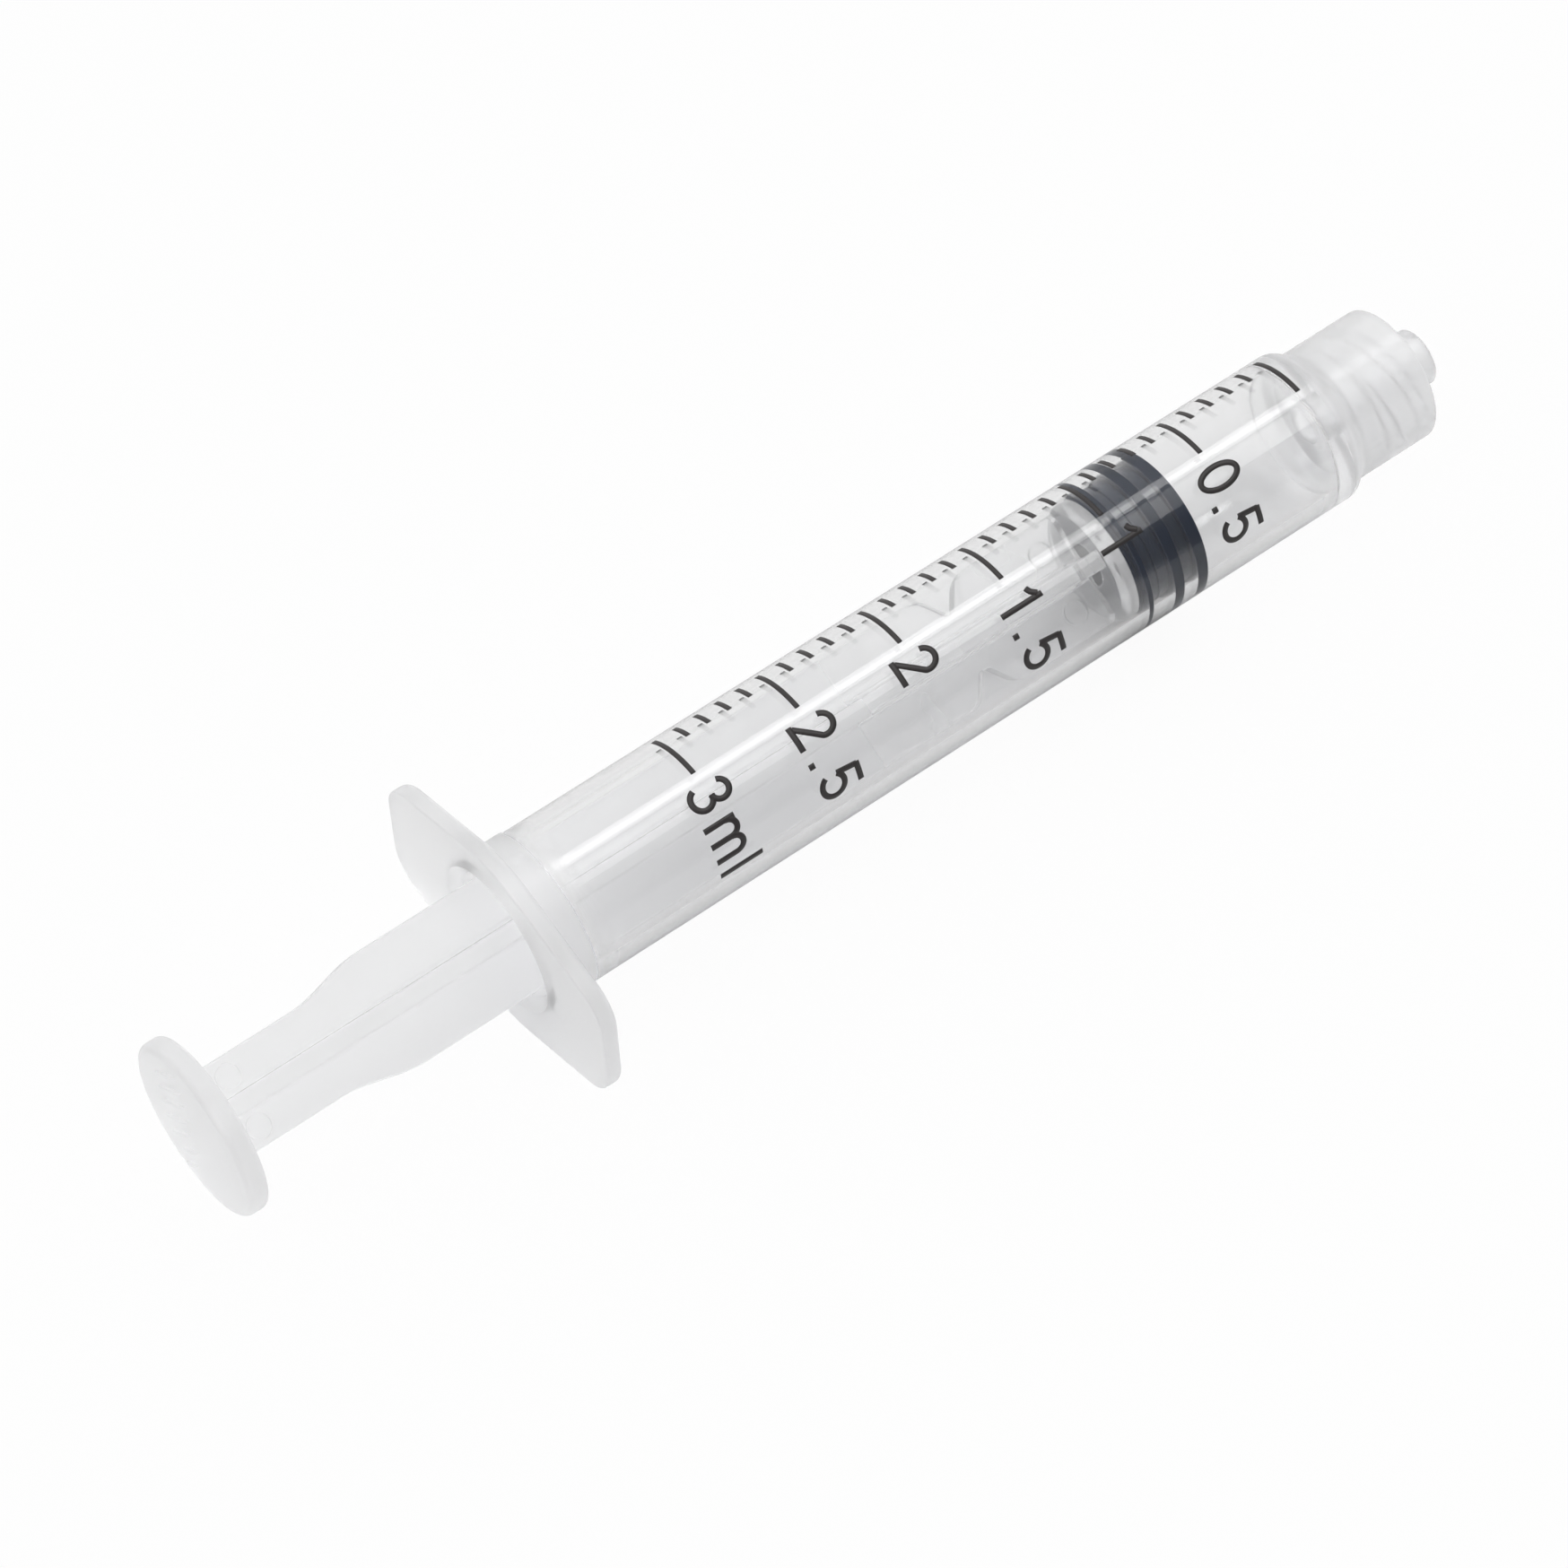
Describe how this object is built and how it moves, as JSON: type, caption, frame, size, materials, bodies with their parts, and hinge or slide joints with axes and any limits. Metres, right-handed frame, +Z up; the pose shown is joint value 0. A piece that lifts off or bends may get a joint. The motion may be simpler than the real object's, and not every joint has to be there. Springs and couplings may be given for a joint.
{
  "type": "luer lock syringe",
  "caption": "Clear luer lock syringe: a graduated barrel with finger flange, lock collar and tapered nozzle, a cross-ribbed plunger rod with thumb disc, and a sliding rubber stopper.",
  "frame": {"origin": "middle of the bounding box's base: on the table under the middle of the syringe as it lies", "axes": "+X along the syringe towards the nozzle, +Y along the finger flange, +Z up; the syringe lies on its flange and front shoulder, so its own axis dips about 2 degrees towards the nozzle"},
  "size_m": [0.096, 0.0224, 0.0149],
  "materials": {
    "barrel_plastic": "clear, slightly milky polypropylene, glossy",
    "rod_plastic": "clear milky polypropylene, glossy",
    "stopper_rubber": "black rubber with a film of silicone oil"
  },
  "bodies": {
    "barrel": {"barrel": "barrel_plastic"},
    "stopper": {"stopper": "stopper_rubber"},
    "plunger_rod": {"plunger_rod": "rod_plastic"}
  },
  "joints": [
    {"name": "plunger_slide", "type": "slide", "parent": "barrel", "child": "stopper", "axis": [0.9995, 0, -0.033], "range_m": [-0.04263, 0.01068]},
    {"name": "plunger_turn", "type": "hinge", "parent": "stopper", "child": "plunger_rod", "pos_m": [0.02127, 0, 0.00591], "axis": [0.9995, 0, -0.033], "continuous": true}
  ]
}
